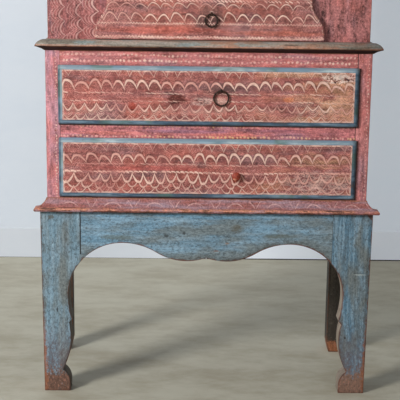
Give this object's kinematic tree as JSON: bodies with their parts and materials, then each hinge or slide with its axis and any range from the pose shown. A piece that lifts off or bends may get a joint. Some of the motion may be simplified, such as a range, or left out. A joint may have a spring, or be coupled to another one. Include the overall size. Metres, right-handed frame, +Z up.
{
  "type": "cabinet on stand",
  "caption": "Painted folk cabinet on stand: sawn legs and scalloped apron carry a chest of lipped drawers, a waist ledge and a cupboard with a shaped drawer under a panelled door.",
  "frame": {"origin": "on the floor under the middle of the whole object's box", "axes": "+Z up; the front faces -Y; +X to the right as seen from the front"},
  "size_m": [1.034, 0.449, 1.9],
  "materials": {
    "stand_blue": "worn blue-grey paint on pine",
    "moulding_red": "worn mauve-red paint on pine",
    "ledge_green": "worn grey-green paint on pine",
    "drawer_face": "red-brown paint with pale combed scallops and a blue edge",
    "door_paint": "red-brown paint with pale combed scallops and a blue edge",
    "frame_red": "pinkish red paint with pale dots",
    "cupboard_red": "pinkish red paint with combed waves",
    "knob_red": "dark red painted turned wood",
    "bare_pine": "bare aged pine",
    "iron": "dark forged iron"
  },
  "bodies": {
    "case": {"base_moulding": "moulding_red", "chest_back_boards": "bare_pine", "chest_bottom": "bare_pine", "chest_drawer_runners": "bare_pine", "chest_rail_bottom": "frame_red", "chest_rail_middle": "frame_red", "chest_rail_top": "frame_red", "chest_side_left": "frame_red", "chest_side_right": "frame_red", "chest_stile_left": "frame_red", "chest_stile_right": "frame_red", "cornice": "ledge_green", "cupboard_back_boards": "bare_pine", "cupboard_bottom": "bare_pine", "cupboard_floor": "bare_pine", "cupboard_rail_middle": "cupboard_red", "cupboard_rail_top": "cupboard_red", "cupboard_shelf": "bare_pine", "cupboard_shelf_cleats": "bare_pine", "cupboard_side_left": "cupboard_red", "cupboard_side_right": "cupboard_red", "cupboard_stile_left": "cupboard_red", "cupboard_stile_right": "cupboard_red", "cupboard_top": "bare_pine", "door_hinge_case_leaves": "iron", "frame_pegs": "frame_red", "small_drawer_guides": "bare_pine", "stand_apron_front": "stand_blue", "stand_apron_left": "stand_blue", "stand_apron_right": "stand_blue", "stand_joint_pegs": "stand_blue", "stand_leg_front_left": "stand_blue", "stand_leg_front_right": "stand_blue", "stand_leg_rear_left": "stand_blue", "stand_leg_rear_right": "stand_blue", "stand_rail_rear": "stand_blue", "waist_ledge": "ledge_green"},
    "lower_drawer": {"lower_drawer_back": "bare_pine", "lower_drawer_bottom": "bare_pine", "lower_drawer_front": "drawer_face", "lower_drawer_knob": "knob_red", "lower_drawer_sides": "bare_pine"},
    "upper_drawer": {"upper_drawer_back": "bare_pine", "upper_drawer_bottom": "bare_pine", "upper_drawer_front": "drawer_face", "upper_drawer_ring_eye": "iron", "upper_drawer_sides": "bare_pine"},
    "small_drawer": {"small_drawer_bottom": "bare_pine", "small_drawer_face": "drawer_face", "small_drawer_ring_eye": "iron", "small_drawer_walls": "bare_pine"},
    "door": {"door_hinge_door_leaves": "iron", "door_panel": "door_paint", "door_rails": "door_paint", "door_ring_eye": "iron", "door_stiles": "door_paint"},
    "upper_ring": {"upper_drawer_ring": "iron"},
    "small_ring": {"small_drawer_ring": "iron"},
    "door_ring": {"door_ring": "iron"}
  },
  "joints": [
    {"name": "lower_drawer_slide", "type": "slide", "parent": "case", "child": "lower_drawer", "axis": [0, -1, 0], "range_m": [0, 0.3]},
    {"name": "upper_drawer_slide", "type": "slide", "parent": "case", "child": "upper_drawer", "axis": [0, -1, 0], "range_m": [0, 0.3]},
    {"name": "small_drawer_slide", "type": "slide", "parent": "case", "child": "small_drawer", "axis": [0, -1, 0], "range_m": [0, 0.26]},
    {"name": "door_swing", "type": "hinge", "parent": "case", "child": "door", "pos_m": [-0.3035, -0.1715, 1.232], "axis": [0, 0, -1], "range_deg": [0, 120]},
    {"name": "upper_ring_swing", "type": "hinge", "parent": "upper_drawer", "child": "upper_ring", "pos_m": [0.037, -0.2049, 0.9367], "axis": [-1, 0, 0], "range_deg": [0, 150]},
    {"name": "small_ring_swing", "type": "hinge", "parent": "small_drawer", "child": "small_ring", "pos_m": [0.005, -0.1887, 1.1582], "axis": [-1, 0, 0], "range_deg": [0, 150]},
    {"name": "door_ring_swing", "type": "hinge", "parent": "door", "child": "door_ring", "pos_m": [0.258, -0.1827, 1.5372], "axis": [-1, 0, 0], "range_deg": [0, 150]}
  ]
}
